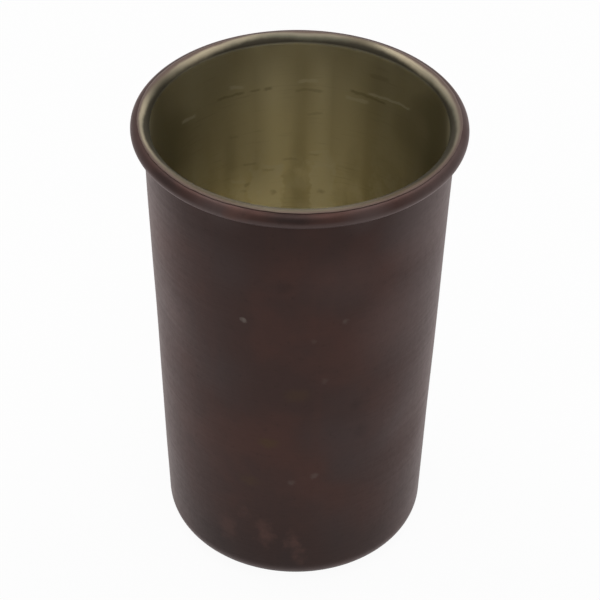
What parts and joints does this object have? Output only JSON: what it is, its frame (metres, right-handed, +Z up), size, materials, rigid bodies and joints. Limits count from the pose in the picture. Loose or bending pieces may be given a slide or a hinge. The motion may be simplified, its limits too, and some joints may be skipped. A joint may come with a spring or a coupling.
{
  "type": "shot cup",
  "caption": "Small tapered metal drinking cup with a rounded foot, a rim rolled round a wire and a thin lining that laps over the rim.",
  "frame": {"origin": "middle of the foot, on the surface that the cup stands on", "axes": "+Z up along the cup's axis, from the foot to the mouth"},
  "size_m": [0.046, 0.046, 0.07],
  "materials": {
    "brown_patina": "satin",
    "aged_tin": "satin",
    "bare_copper_wire": "satin"
  },
  "bodies": {
    "root": {"copper_shell": "brown_patina", "tin_lining": "aged_tin", "rim_wire": "bare_copper_wire"}
  },
  "joints": []
}
